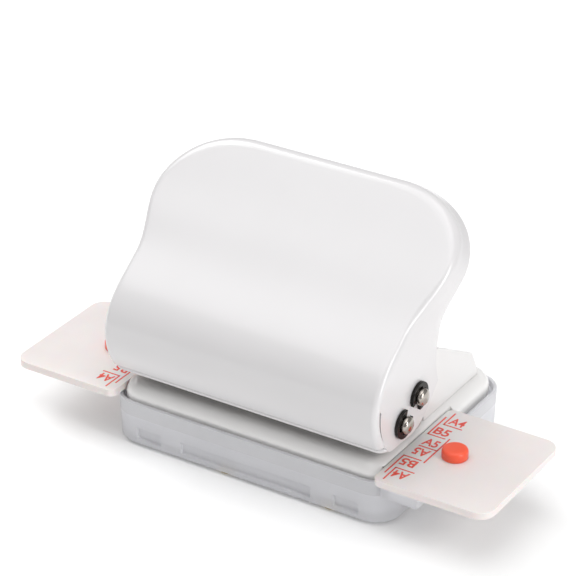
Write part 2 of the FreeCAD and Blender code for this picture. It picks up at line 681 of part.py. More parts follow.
def main():
    os.makedirs("parts", exist_ok=True)
    save("base_cover", base_cover())
    save("die_plate", die_plate())
    save("die_screws", compound([die_screw(x) for x in (-DIE_SCREW_X, DIE_SCREW_X)]))
    save("paper_stop", paper_stop())
    save("stop_rivets", compound([stop_rivet(x) for x in (-STOP_RIVET_X, STOP_RIVET_X)]))
    both_sides("side_plate", side_plate())
    save("side_plate_screws",
         compound([side_screw(s * x, y) for s in (-1, 1) for x, y in SIDE_SCREWS]))
    save("punch_guide", guide_plate())
    save("guide_screws", compound([guide_screw(s, y) for s in (-1, 1) for y in GUIDE_SCREW_Y]))
    save("pivot_shaft", shaft(PIVOT_Y, PIVOT_Z))
    both_sides("pivot_spacer", pivot_spacer())
    both_sides("pivot_clip", clip(PIVOT_Y, PIVOT_Z, 40))
    for name, x in (("left", -PUNCH_PITCH), ("right", PUNCH_PITCH)):
        save("return_spring_" + name, return_spring(x))
    save("lever_shell", lever_shell())
    save("press_shaft", shaft(PRESS_Y, PRESS_Z))
    both_sides("press_clip", clip(PRESS_Y, PRESS_Z, 235))
    for i, x in enumerate(punch_places()):
        save("punch_pin_" + str(i + 1), punch_pin(x))
    save("chip_tray", chip_tray())
    save("tray_hinge_pin", tray_hinge_pin())
    save("tray_feet", compound([foot(x, y) for x, y in FOOT_PLACES]))
    both_sides("paper_guide", guide_wing())
    both_sides("index_peg", peg())


main()
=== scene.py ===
import json
import math

import bmesh
import bpy
import numpy as np
from mathutils import Matrix, Vector


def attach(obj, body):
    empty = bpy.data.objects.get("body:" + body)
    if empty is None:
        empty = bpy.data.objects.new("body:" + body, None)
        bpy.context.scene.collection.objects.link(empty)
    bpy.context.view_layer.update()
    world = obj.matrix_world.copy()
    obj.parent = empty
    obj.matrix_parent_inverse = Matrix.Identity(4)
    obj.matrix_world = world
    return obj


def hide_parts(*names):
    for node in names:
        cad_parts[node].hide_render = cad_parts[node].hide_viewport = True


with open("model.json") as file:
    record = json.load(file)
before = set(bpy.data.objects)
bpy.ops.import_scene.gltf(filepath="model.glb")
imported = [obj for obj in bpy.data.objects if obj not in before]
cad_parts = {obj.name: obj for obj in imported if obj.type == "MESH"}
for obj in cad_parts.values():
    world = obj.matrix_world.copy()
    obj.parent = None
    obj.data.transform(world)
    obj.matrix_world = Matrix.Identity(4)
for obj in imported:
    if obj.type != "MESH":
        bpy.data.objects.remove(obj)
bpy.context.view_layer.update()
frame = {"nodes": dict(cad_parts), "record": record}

# Sizes are in millimetres about the punch row, as in the CAD source: X along the row, Y away from
# the user, Z above the table.
MM = 0.001
ROW_Y = -9.9725
WING_TOP = 13.6
TAU = 2 * math.pi


def at(x, y, z):
    return Vector((x, y + ROW_Y, z)) * MM


# ---- materials -----------------------------------------------------------------------------------

class Paint:
    """Small helper that wires one material's nodes."""

    def __init__(self, name, colour, roughness, **sockets):
        self.material = bpy.data.materials.new(name)
        self.material.use_nodes = True
        self.nodes = self.material.node_tree.nodes
        self.links = self.material.node_tree.links
        self.shader = self.nodes["Principled BSDF"]
        self.colour = colour
        self.roughness = roughness
        self.shader.inputs["Base Color"].default_value = (*colour, 1)
        self.shader.inputs["Roughness"].default_value = roughness
        for key, value in sockets.items():
            self.shader.inputs[key.replace("_", " ")].default_value = value
        self.place = self.nodes.new("ShaderNodeTexCoord").outputs["Object"]

    def noise(self, scale, detail=3.0, stretch=(1, 1, 1)):
        mapping = self.nodes.new("ShaderNodeMapping")
        mapping.inputs["Scale"].default_value = stretch
        texture = self.nodes.new("ShaderNodeTexNoise")
        texture.inputs["Scale"].default_value = scale
        texture.inputs["Detail"].default_value = detail
        self.links.new(self.place, mapping.inputs["Vector"])
        self.links.new(mapping.outputs["Vector"], texture.inputs["Vector"])
        return texture.outputs["Fac"]

    def remap(self, value, low, high, start=0.3, stop=0.7):
        node = self.nodes.new("ShaderNodeMapRange")
        node.inputs["From Min"].default_value = start
        node.inputs["From Max"].default_value = stop
        node.inputs["To Min"].default_value = low
        node.inputs["To Max"].default_value = high
        self.links.new(value, node.inputs["Value"])
        return node.outputs["Result"]

    def mottle(self, value, darkest):
        """Vary the base colour between darkest times itself and itself."""
        mix = self.nodes.new("ShaderNodeMix")
        mix.data_type = "RGBA"
        mix.inputs["A"].default_value = (*[c * darkest for c in self.colour], 1)
        mix.inputs["B"].default_value = (*self.colour, 1)
        self.links.new(self.remap(value, 0, 1), mix.inputs["Factor"])
        self.links.new(mix.outputs["Result"], self.shader.inputs["Base Color"])

    def dull(self, value, spread):
        """Vary the roughness by spread either way."""
        result = self.remap(value, self.roughness - spread, self.roughness + spread)
        self.links.new(result, self.shader.inputs["Roughness"])

    def bump(self, value, depth, strength=1.0, edge=0.0):
        """Bump of depth mm, on normals rounded over edge mm at the sharp corners."""
        bump = self.nodes.new("ShaderNodeBump")
        bump.inputs["Strength"].default_value = strength
        bump.inputs["Distance"].default_value = depth * MM
        self.links.new(value, bump.inputs["Height"])
        if edge:
            bevel = self.nodes.new("ShaderNodeBevel")
            bevel.samples = 6
            bevel.inputs["Radius"].default_value = edge * MM
            self.links.new(bevel.outputs["Normal"], bump.inputs["Normal"])
        self.links.new(bump.outputs["Normal"], self.shader.inputs["Normal"])


def white_enamel(name, colour, edge):
    paint = Paint(name, colour, 0.34, Coat_Weight=0.8, Coat_Roughness=0.17)
    paint.mottle(paint.noise(60, 2), 0.985)
    paint.dull(paint.noise(220, 4), 0.05)
    paint.bump(paint.noise(1500, 2), 0.004, 0.35, edge)
    return paint.material


def brushed_metal(name, colour, roughness, stretch, edge=0.15):
    paint = Paint(name, colour, roughness, Metallic=1.0)
    grain = paint.noise(900, 6, stretch)
    paint.mottle(grain, 0.82)
    paint.dull(grain, 0.07)
    paint.bump(grain, 0.006, 0.5, edge)
    return paint.material


def moulded_plastic(name, colour, roughness, edge, **sockets):
    paint = Paint(name, colour, roughness, **sockets)
    paint.mottle(paint.noise(140, 3), 0.975)
    paint.dull(paint.noise(300, 4), 0.05)
    paint.bump(paint.noise(700, 2), 0.004, 0.3, edge)
    return paint.material


def make_materials():
    soft_white = dict(Subsurface_Weight=0.25, Subsurface_Scale=0.002)
    return {
        "lever_paint": white_enamel("lever_paint", (0.70, 0.688, 0.695), 0),
        "cover_paint": white_enamel("cover_paint", (0.86, 0.85, 0.84), 0.3),
        "white_paint": white_enamel("white_paint", (0.76, 0.75, 0.745), 0.3),
        "steel": brushed_metal("steel", (0.60, 0.60, 0.60), 0.32, (0.06, 1, 1)),
        "punch_steel": brushed_metal("punch_steel", (0.66, 0.66, 0.65), 0.22, (1, 1, 0.08)),
        "polished_steel": brushed_metal("polished_steel", (0.50, 0.46, 0.42), 0.2, (0.1, 1, 1), 0.2),
        "dark_steel": brushed_metal("dark_steel", (0.035, 0.033, 0.032), 0.3, (1, 0.3, 1), 0.1),
        "spring_steel": brushed_metal("spring_steel", (0.42, 0.41, 0.40), 0.3, (1, 1, 1), 0),
        "white_plastic": moulded_plastic("white_plastic", (0.8, 0.8, 0.78), 0.45, 0.1),
        "guide_plastic": moulded_plastic("guide_plastic", (0.80, 0.76, 0.745), 0.38, 0, **soft_white),
        "peg_plastic": moulded_plastic("peg_plastic", (0.98, 0.12, 0.055), 0.34, 0,
                                       Subsurface_Weight=0.15, Subsurface_Scale=0.001),
        "clear_plastic": moulded_plastic("clear_plastic", (0.97, 0.97, 1.0), 0.36, 0,
                                         Transmission_Weight=0.45, IOR=1.3),
        # Darker copy of the clear plastic: painted shade on the tray's upper outer wall, standing in for the
        # cover's skirt seen through it.
        "clear_painted_shade": moulded_plastic("clear_painted_shade", (0.80, 0.80, 0.82), 0.36, 0,
                                      Transmission_Weight=0.3, IOR=1.3),
        "foot_rubber": moulded_plastic("foot_rubber", (0.62, 0.52, 0.33), 0.7, 0.1),
        "print_red": moulded_plastic("print_red", (0.80, 0.10, 0.07), 0.5, 0),
    }


# ---- mesh helpers --------------------------------------------------------------------------------

def add_mesh(name, points, faces, material, sharp=35):
    """Object from points in mm about the punch row; edges over sharp degrees stay crisp."""
    mesh = bpy.data.meshes.new(name)
    mesh.from_pydata([at(*p) for p in points], [], faces)
    mesh.validate()
    mesh.polygons.foreach_set("use_smooth", [True] * len(mesh.polygons))
    mesh.set_sharp_from_angle(angle=math.radians(sharp))
    mesh.materials.append(material)
    obj = bpy.data.objects.new(name, mesh)
    bpy.context.scene.collection.objects.link(obj)
    return obj


def soften(obj, width, segments=3, angle=40):
    edge = obj.modifiers.new("edge", "BEVEL")
    edge.width = width * MM
    edge.segments = segments
    edge.limit_method = "ANGLE"
    edge.angle_limit = math.radians(angle)
    edge.use_clamp_overlap = True
    normals = obj.modifiers.new("normals", "WEIGHTED_NORMAL")
    normals.keep_sharp = True


def stands_for(obj, body, *nodes):
    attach(obj, body)
    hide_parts(*nodes)


def strip(rows, close=False):
    """Points and quads that join rows of equal length; close joins each row's ends."""
    count = len(rows[0])
    points = [p for row in rows for p in row]
    faces = []
    for i in range(len(rows) - 1):
        for j in range(count if close else count - 1):
            k = (j + 1) % count
            faces.append((i * count + j, i * count + k, (i + 1) * count + k, (i + 1) * count + j))
    return points, faces


def smooth_curve(points, count):
    """Natural cubic spline through points, sampled count times at even steps of length."""
    points = np.array(points, float)
    t = np.concatenate([[0], np.cumsum(np.linalg.norm(np.diff(points, axis=0), axis=1))])
    h = np.diff(t)
    n = len(t)
    matrix = np.eye(n)
    right = np.zeros_like(points)
    for i in range(1, n - 1):
        matrix[i, i - 1:i + 2] = h[i - 1], 2 * (h[i - 1] + h[i]), h[i]
        right[i] = 6 * ((points[i + 1] - points[i]) / h[i] - (points[i] - points[i - 1]) / h[i - 1])
    bend = np.linalg.solve(matrix, right)
    fine = np.linspace(0, t[-1], 40 * n)
    k = np.clip(np.searchsorted(t, fine, "right") - 1, 0, n - 2)
    a, b, w = (t[k + 1] - fine)[:, None], (fine - t[k])[:, None], h[k][:, None]
    curve = (bend[k] * a ** 3 + bend[k + 1] * b ** 3) / (6 * w)
    curve += (points[k] / w - bend[k] * w / 6) * a + (points[k + 1] / w - bend[k + 1] * w / 6) * b
    length = np.concatenate([[0], np.cumsum(np.linalg.norm(np.diff(curve, axis=0), axis=1))])
    even = np.linspace(0, length[-1], count)
    return np.stack([np.interp(even, length, curve[:, c]) for c in range(points.shape[1])], 1)


# ---- lever ---------------------------------------------------------------------------------------

HANDLE_FOOT = (7.5, 39.9)
HANDLE_ANGLE = math.radians(42.0)
HANDLE_REACH = 15.5
HANDLE_HALF = 36.9
BODY_HALF = 33.8
CORNER = (18.8, 15.5)
RIM_DEPTH = 5.2
RIM_SPLAY = 0.16
SHEET = 1.0
SLIT = 0.85
SLIT_HEIGHT = 10.0
LIP_DROP = 1.3
LIP_R = 0.6
LIP_Y = -13.3
LIP_Z = WING_TOP + 5.0
LIP_TURN_R = 1.6
LIP_TAIL = 3.6
# The lever widens over this length of the profile below the handle's foot.
FLARE = 16.5
# Radius of the side bends, low on the belly and on the handle, and where along s it changes.
BEND_R_LOW, BEND_R_HIGH = 1.4, 2.9
BEND_CHANGE = (-6, 10)
EDGE_SAMPLES = 101
NO_SIDE = Vector((0, 0, 0))
# Side view of the lever above the paper guides' top: front face, rear edge and underside (y, z).
FRONT = [(-14.0, 4.9), (-16.3, 9.0), (-17.35, 14.0), (-16.4, 18.7), (-13.4, 22.9), (-8.9, 26.5),
         (-3.3, 30.6), (2.0, 35.2), HANDLE_FOOT, (12.1, 44.0), (15.6, 47.2)]
REAR = [(33.8, 8.2, 11.6), (33.8, 7.2, 15.5), (33.95, 7.0, 19.8), (34.3, 6.9, 23.0),
        (34.9, 7.0, 26.8), (36.2, 8.2, 31.0)]
UNDER = [(-12.0, 4.5), (-7.4, 4.1), (-4.3, 3.9), (-1.7, 4.0), (0.9, 4.8), (4.6, 7.6)]


class LeverFace:
    """The lever's front face as a surface: x across, s along the profile, 0 at the handle's foot."""

    def __init__(self):
        tip = (HANDLE_FOOT[0] + HANDLE_REACH * math.cos(HANDLE_ANGLE),
               HANDLE_FOOT[1] + HANDLE_REACH * math.sin(HANDLE_ANGLE))
        self.line = smooth_curve([(y, z) for y, z in FRONT] + [tip], 600)
        self.length = np.concatenate(
            [[0], np.cumsum(np.linalg.norm(np.diff(self.line, axis=0), axis=1))])
        self.length -= self.length[-1] - HANDLE_REACH
        self.low = self.length[0] + LIP_DROP

    def point(self, x, s):
        y = np.interp(s, self.length, self.line[:, 0])
        z = np.interp(s, self.length, self.line[:, 1])
        return np.array([x, y, z + WING_TOP])

    def along(self, s):
        s = min(max(s, self.low + 0.1), HANDLE_REACH - 0.1)
        step = self.point(0, s + 0.1) - self.point(0, s - 0.1)
        return step / np.linalg.norm(step)

    def out(self, s):
        t = self.along(s)
        return np.array([0, -t[2], t[1]])


def lever_half_width(s):
    k = min(max((s + FLARE) / FLARE, 0), 1)
    return BODY_HALF + (HANDLE_HALF - BODY_HALF) * k * k * (3 - 2 * k)


def bend_radius(s):
    start, stop = BEND_CHANGE
    share = min(max((s - start) / (stop - start), 0), 1)
    return BEND_R_LOW + (BEND_R_HIGH - BEND_R_LOW) * share * share * (3 - 2 * share)


def lever_side(face, steps=56, corner_steps=26):
    """Right-hand outline from the lower edge to the handle's flat top, as (x, s)."""
    side = [(lever_half_width(s), s) for s in np.linspace(face.low, 0, steps)]
    for t in np.linspace(0, math.pi / 2, corner_steps)[1:]:
        side.append((HANDLE_HALF - CORNER[0] + CORNER[0] * math.cos(t), CORNER[1] * math.sin(t)))
    return side, steps


def outline_normals(outline):
    line = np.array(outline)
    step = np.gradient(line, axis=0)
    step /= np.linalg.norm(step, axis=1)[:, None]
    return np.stack([step[:, 1], -step[:, 0]], 1)


def lever_rulings(face, side, steps, columns=15):
    """For each outline point: the bend's arc, then the flange, as lists of points."""
    normals = outline_normals(side)
    normals[0] = (1, 0)
    normals[-1] = (0, 1)
    starts, arcs, rims = [], [], []
    for (x, s), (nx, ns) in zip(side, normals):
        r = bend_radius(s)
        out, along = face.out(s), face.along(s)
        outward = np.array([nx, 0, 0]) + along * ns
        edge = face.point(x, s)
        if s > HANDLE_REACH - 0.01:
            edge = face.point(x, HANDLE_REACH)
        starts.append((x - nx * r, s - ns * r))
        centre = edge - outward * r - out * r
        arcs.append([centre + r * (out * math.cos(a) + outward * math.sin(a))
                     for a in np.linspace(0, math.pi / 2, 8)])
        rims.append(edge - out * RIM_DEPTH + outward * RIM_SPLAY * RIM_DEPTH)
    front = np.array([arc[-1] for arc in arcs[:steps]])
    low_rear = np.array(REAR[0]) + (0, 0, WING_TOP)
    rear = smooth_curve([np.array(p) + (0, 0, WING_TOP) for p in REAR] + [rims[steps - 1]], steps)
    under = [np.array((BODY_HALF, y, z + WING_TOP)) for y, z in UNDER]
    lower_edge = smooth_curve([front[0]] + under + [low_rear], EDGE_SAMPLES)
    flanges = []
    for i in range(len(side)):
        first = arcs[i][-1]
        if i >= steps:
            flanges.append([first + (rims[i] - first) * v for v in np.linspace(0, 1, columns)])
            continue
        u = i / (steps - 1)
        span = np.linalg.norm(rear[i] - first)
        across = np.concatenate([[0], np.linspace(SLIT / span, 1, columns - 1)])
        row = []
        for v in across:
            bottom = point_at(lower_edge, v)
            top = front[-1] + (rims[steps - 1] - front[-1]) * v
            ruled = (1 - v) * first + v * rear[i] + (1 - u) * bottom + u * top
            corners = (1 - u) * ((1 - v) * front[0] + v * low_rear)
            corners = corners + u * ((1 - v) * front[-1] + v * rims[steps - 1])
            row.append(ruled - corners)
        flanges.append(row)
    return starts, arcs, flanges


def point_at(line, v):
    """Point at share v of an evenly sampled curve."""
    shares = np.linspace(0, 1, len(line))
    return np.array([np.interp(v, shares, line[:, c]) for c in range(3)])


def lever_shell(materials):
    face = LeverFace()
    side, steps = lever_side(face)
    starts, arcs, flanges = lever_rulings(face, side, steps)
    count = 61
    rows = []
    for x, s in starts:
        rows.append([face.point(x * (2 * j / (count - 1) - 1), s) for j in range(count)])
    points, faces = strip(hem_rows(face, starts[0], count) + rows)
    faces = [tuple(reversed(f)) for f in faces]
    slit_end = next(i for i, (x, s) in enumerate(side) if s > face.low + SLIT_HEIGHT)
    for sign in (1, -1):
        bands = [list(a) + list(f[1:]) for a, f in zip(arcs, flanges)]
        add_band(points, faces, bands, sign, slit_end, len(arcs[0]) - 1)
    add_top(points, faces, face, side[-1], count)
    obj = add_mesh("lever_cover", points, faces, materials["lever_paint"], 50)
    merge_outwards(obj, Vector((0, -1, 0)))
    sheet = obj.modifiers.new("sheet", "SOLIDIFY")
    sheet.thickness = SHEET * MM
    sheet.offset = -1
    soften(obj, 0.22, 3, 50)
    stands_for(obj, "lever", "lever_shell")
    lever_lip(materials)


def lever_lip(materials, count=20):
    """Rounded lip that runs under the front sheet and turns the corner to meet each flange."""
    x, y, z, turn = BODY_HALF - LIP_R, LIP_Y, LIP_Z, LIP_TURN_R
    half = [(x, y + LIP_TAIL, z - 0.25), (x, y + turn, z)]
    for a in np.linspace(0, math.pi / 2, 8)[1:]:
        half.append((x - turn + turn * math.cos(a), y + turn - turn * math.sin(a), z))
    path = np.array(half + [(-px, py, pz) for px, py, pz in reversed(half)])
    steps = np.gradient(path, axis=0)
    rows = []
    for middle, step in zip(path, steps):
        side = np.array([step[1], -step[0], 0]) / np.linalg.norm(step[:2])
        rows.append([middle + LIP_R * (side * math.cos(a) + np.array([0, 0, 1]) * math.sin(a))
                     for a in np.linspace(0, TAU, count, endpoint=False)])
    points, faces = strip(rows, True)
    last = len(points) - count
    faces += [tuple(reversed(range(count))), tuple(range(last, last + count))]
    lip = add_mesh("lever_lip", points, faces, materials["lever_paint"], 40)
    merge_outwards(lip, NO_SIDE)
    stands_for(lip, "lever", "lever_shell")


def merge_outwards(obj, ahead):
    """Merge an object's strips and turn its faces outwards; an open sheet's mostly look ahead."""
    sheet = bmesh.new()
    sheet.from_mesh(obj.data)
    bmesh.ops.remove_doubles(sheet, verts=sheet.verts, dist=0.01 * MM)
    bmesh.ops.recalc_face_normals(sheet, faces=sheet.faces)
    if ahead.length and sum(f.normal.dot(ahead) * f.calc_area() for f in sheet.faces) < 0:
        bmesh.ops.reverse_faces(sheet, faces=sheet.faces)
    sheet.to_mesh(obj.data)
    sheet.free()


def hem_rows(face, start, count, radius=1.15, rise=3.0):
    """Rows of the folded lower edge, from its inner lip round to the front face."""
    x0, s0 = start
    out, along = face.out(face.low), face.along(face.low)
    foot = face.point(0, face.low)
    profile = []
    for up in np.linspace(rise, 0, 4)[:-1]:
        profile.append(face.point(0, face.low + up) - face.out(face.low + up) * 2 * radius)
    centre = foot - out * radius
    for a in np.linspace(math.pi, 0, 10):
        profile.append(centre + radius * (out * math.cos(a) - along * math.sin(a)))
    rows = []
    for p in profile[:-1]:
        rows.append([np.array([x0 * (2 * j / (count - 1) - 1), p[1], p[2]]) for j in range(count)])
    return rows


def add_band(points, faces, bands, sign, slit_end, slit_column):
    base = len(points)
    width = len(bands[0])
    for row in bands:
        points.extend([np.array([p[0] * sign, p[1], p[2]]) for p in row])
    for i in range(len(bands) - 1):
        for j in range(width - 1):
            if i < slit_end and j == slit_column:
                continue
            a = base + i * width + j
            quad = (a, a + 1, a + width + 1, a + width)
            faces.append(quad if sign > 0 else tuple(reversed(quad)))


def add_top(points, faces, face, last, count):
    """Bend and rim along the handle's straight top edge."""
    x0, s = last
    r = bend_radius(s)
    out, along = face.out(s), face.along(s)
    edge = face.point(0, HANDLE_REACH)
    centre = edge - along * r - out * r
    profile = [centre + r * (out * math.cos(a) + along * math.sin(a))
               for a in np.linspace(0, math.pi / 2, 8)]
    rim = edge - out * RIM_DEPTH + along * RIM_SPLAY * RIM_DEPTH
    profile += [profile[-1] + (rim - profile[-1]) * v for v in np.linspace(0, 1, 15)[1:]]
    rows = []
    for p in profile:
        rows.append([np.array([x0 * (2 * j / (count - 1) - 1), p[1], p[2]]) for j in range(count)])
    more, quads = strip(rows)
    base = len(points)
    points.extend(more)
    faces.extend([tuple(base + k for k in reversed(q)) for q in quads])


# ---- general solids ------------------------------------------------------------------------------

def prism(outline, low, high, axis="z"):
    """Closed prism over a counter-clockwise outline, from low to high along z or along x."""
    count = len(outline)

    def place(a, b, level):
        return (a, b, level) if axis == "z" else (level, a, b)

    points = [place(a, b, low) for a, b in outline] + [place(a, b, high) for a, b in outline]
    faces = [tuple(reversed(range(count))), tuple(range(count, 2 * count))]
    for i in range(count):
        j = (i + 1) % count
        faces.append((i, j, count + j, count + i))
    return points, faces


def rounded_rectangle(x0, x1, y0, y1, radii, steps=10):
    """Counter-clockwise outline; radii run front right, back right, back left, front left."""
    outline = []
    corners = [(x1, y0, -90), (x1, y1, 0), (x0, y1, 90), (x0, y0, 180)]
    for (x, y, start), r in zip(corners, radii):
        cx = x - r if x == x1 else x + r
        cy = y - r if y == y1 else y + r
        for k in range(steps + 1):
            a = math.radians(start + 90 * k / steps)
            outline.append((cx + r * math.cos(a), cy + r * math.sin(a)))
    return outline


def circle(x, y, r, count=48):
    return [(x + r * math.cos(2 * math.pi * k / count), y + r * math.sin(2 * math.pi * k / count))
            for k in range(count)]


def lathe(profile, place, axis, count=56):
    """Solid turned about the z or x axis through place; profile is (along, radius), ends at 0."""
    points, faces, rings = [], [], []
    px, py, pz = place
    for along, r in profile:
        ring = []
        for k in range(count if r > 0 else 1):
            a = 2 * math.pi * k / count
            u, v = r * math.cos(a), r * math.sin(a)
            ring.append(len(points))
            points.append((px + u, py + v, pz + along) if axis == "z" else (px + along, py + u, pz + v))
        rings.append(ring)
    for low, high in zip(rings, rings[1:]):
        for k in range(count):
            j = (k + 1) % count
            if len(low) == 1:
                faces.append((low[0], high[j], high[k]))
            elif len(high) == 1:
                faces.append((low[k], low[j], high[0]))
            else:
                faces.append((low[k], low[j], high[j], high[k]))
    return points, faces


def join(*solids):
    points, faces = [], []
    for more, quads in solids:
        base = len(points)
        points.extend(more)
        faces.extend([tuple(base + k for k in q) for q in quads])
    return points, faces


def carve(obj, solids, operation):
    """Apply booleans of the given solids to obj's mesh."""
    for points, faces in solids:
        tool = add_mesh("tool", points, faces, obj.data.materials[0])
        cut = obj.modifiers.new("cut", "BOOLEAN")
        cut.operation = operation
        cut.solver = "EXACT"
        cut.object = tool
        bpy.context.view_layer.update()
        graph = bpy.context.evaluated_depsgraph_get()
        mesh = bpy.data.meshes.new_from_object(obj.evaluated_get(graph))
        obj.modifiers.clear()
        obj.data = mesh
        bpy.data.objects.remove(tool)


# ---- chip tray -----------------------------------------------------------------------------------

TRAY = (-35.3, 35.3, -14.4, 37.3)
TRAY_CORNER = 6.5
TRAY_RIM = 11.1
TRAY_LOW = 0.6
TRAY_WALL = 0.9
WINDOWS = [(-28.0, -21.7), (-16.5, 16.3), (21.9, 28.0)]
WINDOW_Z = (1.9, 4.9)
WINDOW_DEPTH = 0.6
HINGE = (-36.1, 10.5)
# Height from which the tray's outer wall takes the darker copy of its plastic, painted shade for the cover's
# skirt behind it.
PAINTED_SHADE_LOW = 7.6
TRAY_TAPER = 0.4
TRAY_FOOT_R = 0.8
PLAN_STEPS = 12
TAB = (33.0, 41.8, -13.8, 20.0)
TAB_LOW = 7.8
TAB_HOLLOW = (34.6, 40.6, -12.6, 18.8)
KNUCKLES = [(-8.0, -4.0), (8.0, 12.0)]
KNUCKLE_R = 1.1
KNUCKLE_BORE_R = 0.6


def tray_plan(inset):
    """Plan of the tray shrunk by inset, with extra points at the windows' sides."""
    x0, x1, y0, y1 = TRAY
    r = TRAY_CORNER - inset
    plan = rounded_rectangle(x0 + inset, x1 - inset, y0 + inset, y1 - inset, [r] * 4, PLAN_STEPS)
    stops = []
    for a, b in WINDOWS:
        stops += [a, a + 0.25, b - 0.25, b]
    return plan + [(x, y0 + inset) for x in stops]


def tray_profile():
    """Cross-section of the wall as (inset, z), from the outer bottom over the rim to the floor."""
    outer = []
    r = TRAY_FOOT_R
    for k in range(7):
        a = math.pi / 2 * k / 6
        outer.append((TRAY_TAPER + r - r * math.sin(a), TRAY_LOW + r - r * math.cos(a)))
    z0, z1 = WINDOW_Z
    for z in (z0, z0 + 0.25, z1 - 0.25, z1, PAINTED_SHADE_LOW):
        outer.append((TRAY_TAPER * (TRAY_RIM - z) / (TRAY_RIM - TRAY_LOW), z))
    rim = [(0.03, TRAY_RIM - 0.35), (0.1, TRAY_RIM - 0.12), (0.3, TRAY_RIM),
           (TRAY_WALL - 0.2, TRAY_RIM), (TRAY_WALL, TRAY_RIM - 0.2)]
    inner = [(TRAY_WALL + 0.05, 9.6), (TRAY_WALL + 0.2, 9.5), (1.7, 9.5), (1.85, 9.35),
             (2.0, 3.0), (2.3, 2.3), (3.0, 2.0)]
    return outer + rim + inner


def tray_shell():
    z0, z1 = WINDOW_Z
    rows = []
    for inset, z in tray_profile():
        row = []
        for k, (x, y) in enumerate(tray_plan(inset)):
            inside = any(a + 0.2 < x < b - 0.2 for a, b in WINDOWS) and k >= 4 * (PLAN_STEPS + 1)
            if inside and inset < 0.5 and z0 + 0.2 < z < z1 - 0.2:
                y += WINDOW_DEPTH
            row.append((x, y, z))
        rows.append(row)
    points, faces = strip(rows, True)
    count = len(rows[0])
    last = len(points) - count
    faces.append(tuple(reversed(range(count))))
    faces.append(tuple(range(last, last + count)))
    return points, faces


def tray_tab():
    return prism(rounded_rectangle(*TAB, [0.6, 0.6, 0.3, 0.3]), TAB_LOW, TRAY_RIM - 0.02)


def tray_body(materials):
    """Open tray; the outer wall from the band height up to just below the rim has a darker copy of the clear
    plastic, painted shade for the cover's skirt seen through the wall.
    """
    tray = add_mesh("chip_tray_body", *tray_shell(), materials["clear_plastic"], 30)
    tray.data.materials.append(materials["clear_painted_shade"])
    # Upper outer wall faces take the painted shade copy of the plastic.
    for face in tray.data.polygons:
        middle = face.center / MM
        if PAINTED_SHADE_LOW < middle.z < TRAY_RIM - 0.4 and face.normal.z < 0.5:
            face.material_index = 1
    soften(tray, 0.08, 2, 35)
    stands_for(tray, "tray", "chip_tray")


def finger_tab(materials):
    tab = add_mesh("chip_tray_tab", *tray_tab(), materials["clear_plastic"], 30)
    hollow = prism(rounded_rectangle(*TAB_HOLLOW, [0.4, 0.4, 0.2, 0.2]), 6.0, TRAY_RIM - 1.4)
    carve(tab, [hollow], "DIFFERENCE")
    soften(tab, 0.2, 3, 35)
    stands_for(tab, "tray", "chip_tray")


def tray_knuckles(materials):
    x, z = HINGE
    solids = []
    for y0, y1 in KNUCKLES:
        barrel, bore = ([(x + r * math.cos(a), y0, z + r * math.sin(a))
                         for a in np.linspace(0, TAU, 32, endpoint=False)]
                        for r in (KNUCKLE_R, KNUCKLE_BORE_R))
        solids.append(tube(barrel, bore, y1 - y0))
        web = [(x + 0.9, y0), (-34.6, y0), (-34.6, y1), (x + 0.9, y1)]
        solids.append(prism(web, z - KNUCKLE_R, z))
    hinge = add_mesh("chip_tray_knuckles", *join(*solids), materials["clear_plastic"], 30)
    soften(hinge, 0.12, 2, 35)
    stands_for(hinge, "tray", "chip_tray")


def chip_tray(materials):
    tray_body(materials)
    finger_tab(materials)
    tray_knuckles(materials)


def tube(outer, inner, depth):
    """Ring-shaped solid from two matching loops, depth long along y."""
    def moved(loop):
        return [(x, y + depth, z) for x, y, z in loop]
    points, faces = strip([outer, moved(outer), moved(inner), inner], True)
    count = len(outer)
    for j in range(count):
        k = (j + 1) % count
        faces.append((3 * count + j, 3 * count + k, k, j))
    return points, faces


# ---- paper guides, pegs and printed marks --------------------------------------------------------

WING = (32.5, 59.1, -16.3, 16.3)
WING_LOW = 12.0
PRONGS_Y = [(-10.6, -6.4), (6.4, 10.6)]
PRONG_IN_X = 27.0
PRONG_T = 1.1
PEG_X = 42.75
PEG_HOLE_R = 1.8
PEG_SHANK_R = 1.78
PEG_TOP = WING_TOP + 2.2
MARK_THICKNESS = 0.03
MARK_WIDTH = 0.34
LETTER_WIDE = 3.5
LETTER_TALL = 2.75
LETTER_BOLD = 0.022
# The left guide's marks stand this much further out than a mirror image of the right guide's.
LEFT_PRINT_SHIFT = 0.6
# Printed marks on the +Y half of the right guide: word, its left end and baseline (x, y).
WORDS = [("A4", 34.95, 10.75), ("B5", 34.05, 5.75), ("A5", 34.2, 0.75)]
# Straight lines (x0, y0, x1, y1) on the +Y half, drawn again on the other half.
LINES = [(34.5, 10.0, 34.5, 15.0), (34.5, 10.0, 38.7, 10.0), (33.5, 5.0, 33.5, 12.75),
         (33.5, 5.0, 37.5, 5.0), (38.5, 0.0, 38.5, 5.35), (34.3, 0.0, 38.5, 0.0)]


def flipped(solid, sign):
    """Mirror a solid to the left side when sign is -1."""
    points, faces = solid
    if sign > 0:
        return points, faces
    return [(-x, y, z) for x, y, z in points], [tuple(reversed(f)) for f in faces]


